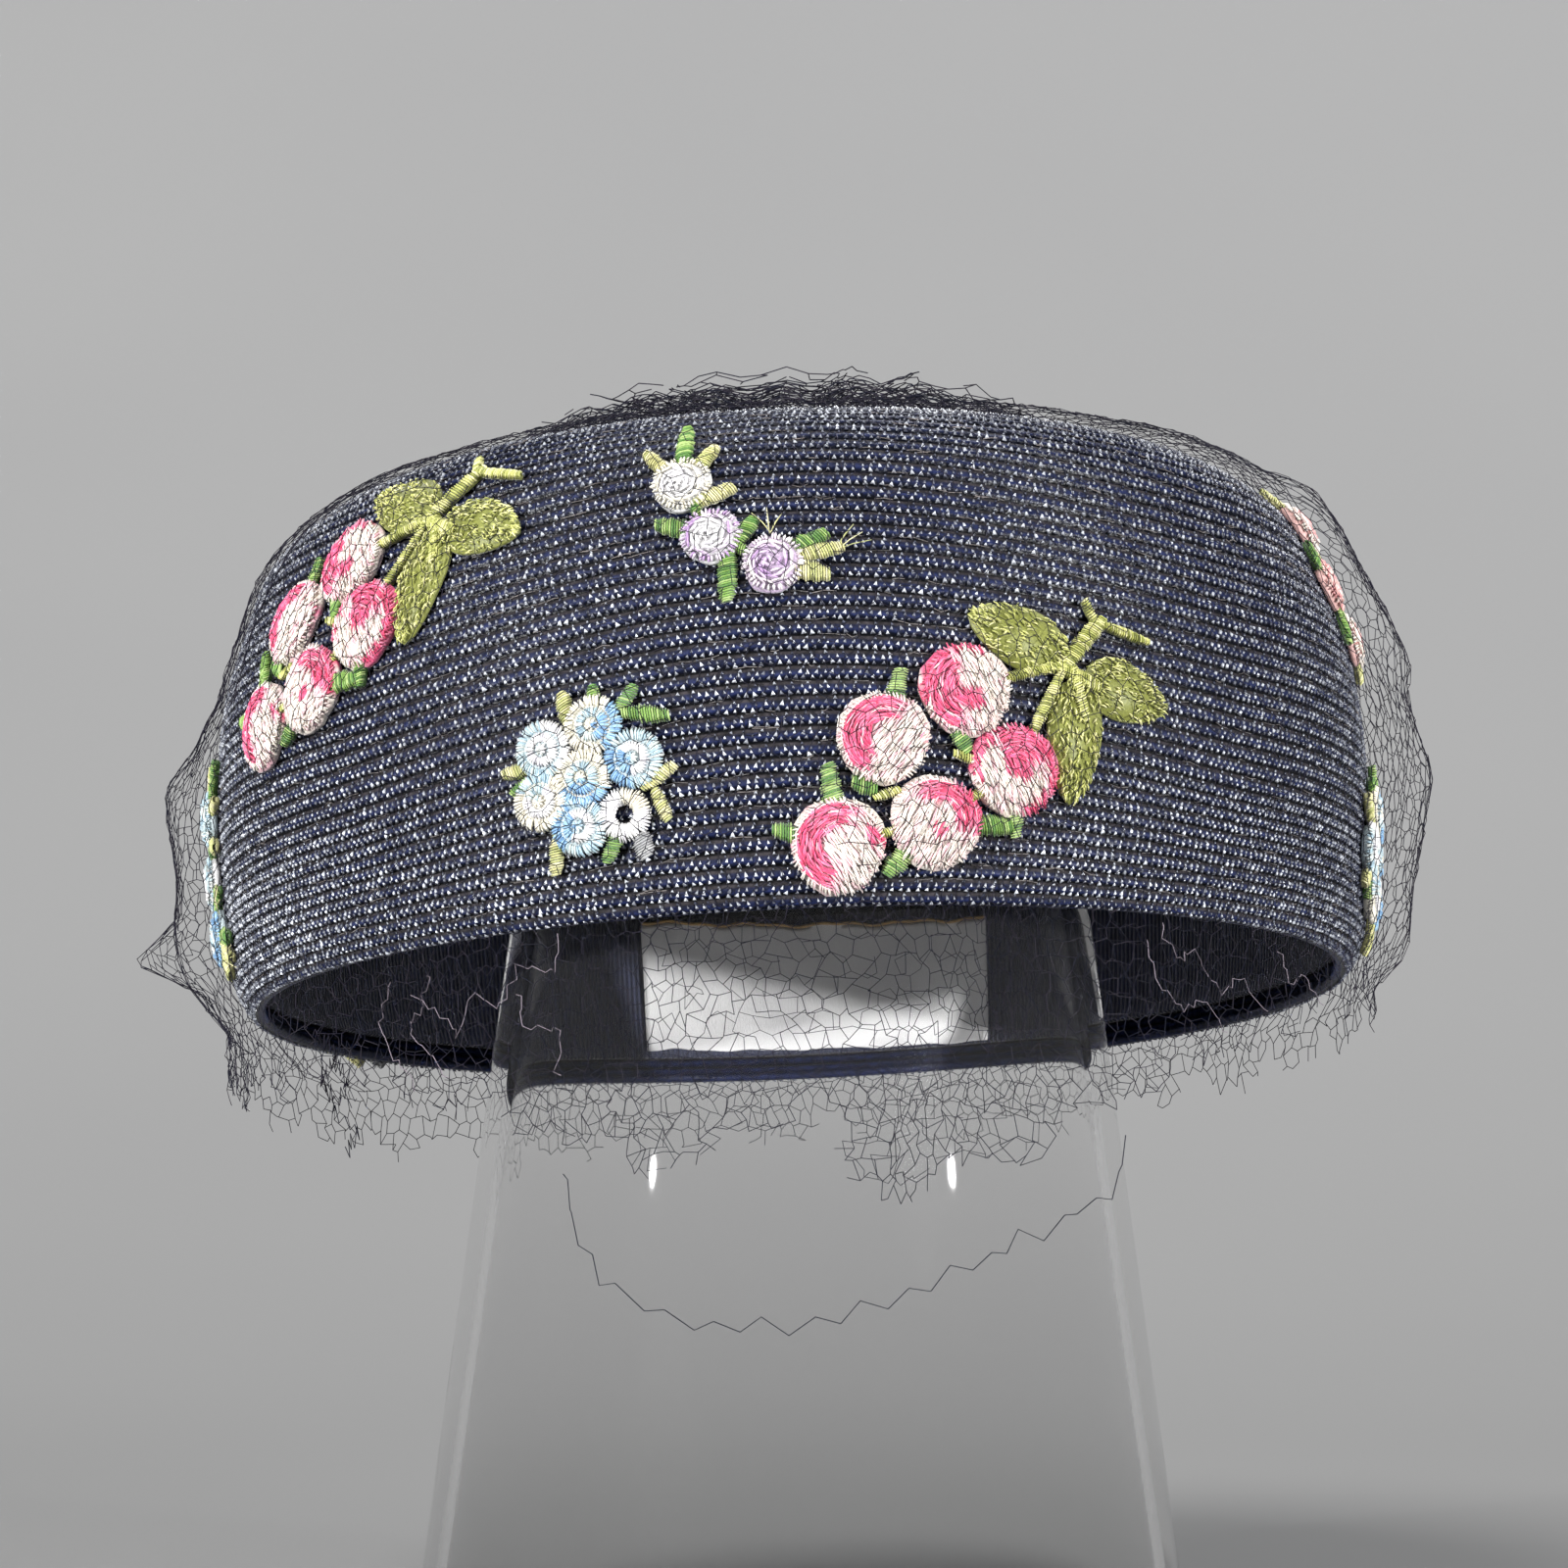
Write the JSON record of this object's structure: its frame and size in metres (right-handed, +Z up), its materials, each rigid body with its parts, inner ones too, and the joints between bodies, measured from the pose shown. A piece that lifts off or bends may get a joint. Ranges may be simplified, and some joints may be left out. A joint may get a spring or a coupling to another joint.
{
  "type": "pillbox hat on a display stand",
  "caption": "Sewn-braid pillbox hat with embroidered flower motifs under a gathered net veil, tilted back on a plain clear tapered stand",
  "frame": {"origin": "on the floor, below the middle of the whole part's box", "axes": "+Z up, the front of the hat towards -Y, +X to the right as seen from the front"},
  "size_m": [0.201, 0.1976, 0.1959],
  "materials": {
    "braid": "navy sewn braid with a shine",
    "ribbon": "navy grosgrain ribbon",
    "satin": "white satin",
    "net": "fine dark navy net",
    "leaf_thread": "olive green thread",
    "berry_thread": "raspberry, pink and cream thread",
    "lilac_thread": "lilac and white thread",
    "salmon_thread": "salmon and pink thread",
    "sky_thread": "sky blue and cream thread",
    "clear": "clear, smooth, thick walled"
  },
  "bodies": {
    "root": {"stand": "clear", "crown": "braid", "headband": "ribbon", "label": "satin", "veil": "net", "berry_spray_1_bloom_1": "berry_thread", "berry_spray_1_bloom_2": "berry_thread", "berry_spray_1_bloom_3": "berry_thread", "berry_spray_1_bloom_4": "berry_thread", "berry_spray_1_bloom_5": "berry_thread", "berry_spray_1_leaves": "leaf_thread", "berry_spray_2_bloom_1": "berry_thread", "berry_spray_2_bloom_2": "berry_thread", "berry_spray_2_bloom_3": "berry_thread", "berry_spray_2_bloom_4": "berry_thread", "berry_spray_2_bloom_5": "berry_thread", "berry_spray_2_leaves": "leaf_thread", "berry_spray_3_bloom_1": "berry_thread", "berry_spray_3_bloom_2": "berry_thread", "berry_spray_3_bloom_3": "berry_thread", "berry_spray_3_bloom_4": "berry_thread", "berry_spray_3_bloom_5": "berry_thread", "berry_spray_3_leaves": "leaf_thread", "posy_1_blooms": "sky_thread", "posy_1_leaves": "leaf_thread", "posy_2_blooms": "sky_thread", "posy_2_leaves": "leaf_thread", "posy_3_blooms": "sky_thread", "posy_3_leaves": "leaf_thread", "posy_4_blooms": "sky_thread", "posy_4_leaves": "leaf_thread", "sprig_1_bloom_1": "lilac_thread", "sprig_1_bloom_2": "lilac_thread", "sprig_1_bloom_3": "lilac_thread", "sprig_1_leaves": "leaf_thread", "sprig_2_bloom_1": "salmon_thread", "sprig_2_bloom_2": "salmon_thread", "sprig_2_bloom_3": "salmon_thread", "sprig_2_leaves": "leaf_thread", "sprig_3_bloom_1": "sky_thread", "sprig_3_bloom_2": "sky_thread", "sprig_3_bloom_3": "sky_thread", "sprig_3_leaves": "leaf_thread", "sprig_4_bloom_1": "lilac_thread", "sprig_4_bloom_2": "lilac_thread", "sprig_4_bloom_3": "lilac_thread", "sprig_4_leaves": "leaf_thread"}
  },
  "joints": []
}
